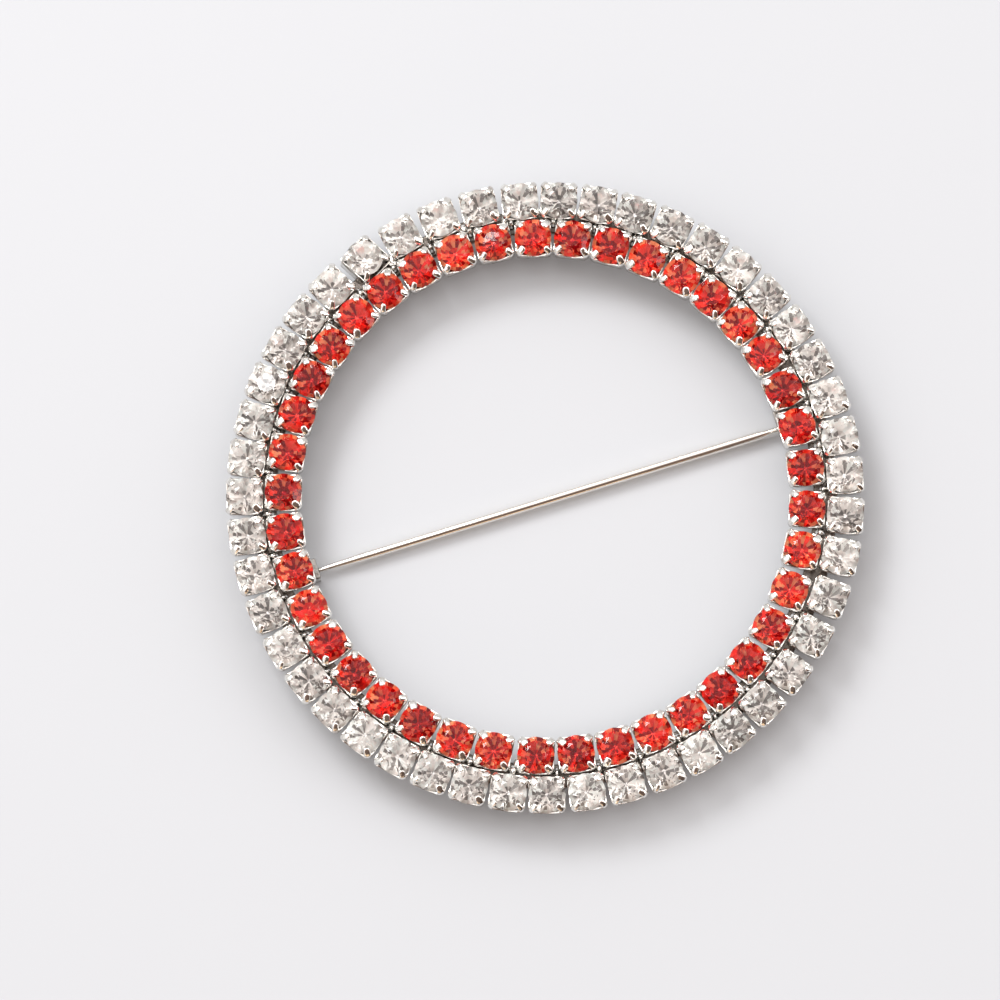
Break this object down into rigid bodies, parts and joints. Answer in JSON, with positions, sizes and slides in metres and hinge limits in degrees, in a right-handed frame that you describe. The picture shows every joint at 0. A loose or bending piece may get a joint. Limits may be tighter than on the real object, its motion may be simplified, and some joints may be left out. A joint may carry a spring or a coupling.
{
  "type": "circle pin brooch",
  "caption": "Open circle brooch of two rows of small cut stones in square cups, with a hinged straight pin stem across the back.",
  "frame": {"origin": "centre of the ring, on the surface that the brooch lies on", "axes": "+Z out of the stone side, +X from the centre along the stem towards its hinge, +Y across the stem"},
  "size_m": [0.0572, 0.0572, 0.005],
  "materials": {
    "bright_metal": "bright white-metal plating over brass, polished",
    "clear_glass": "clear cut glass with a silver foil back",
    "red_glass": "red-orange cut glass with a silver foil back",
    "stem_wire": "polished drawn steel wire"
  },
  "bodies": {
    "ring": {"setting_ring": "bright_metal", "clear_stones": "clear_glass", "red_stones": "red_glass", "hinge_rivet": "bright_metal"},
    "stem": {"pin_stem": "stem_wire"}
  },
  "joints": [
    {"name": "stem_hinge", "type": "hinge", "parent": "ring", "child": "stem", "pos_m": [0.02381, -0.0001, 0.00085], "axis": [0, -1, 0], "range_deg": [0, 80]}
  ]
}
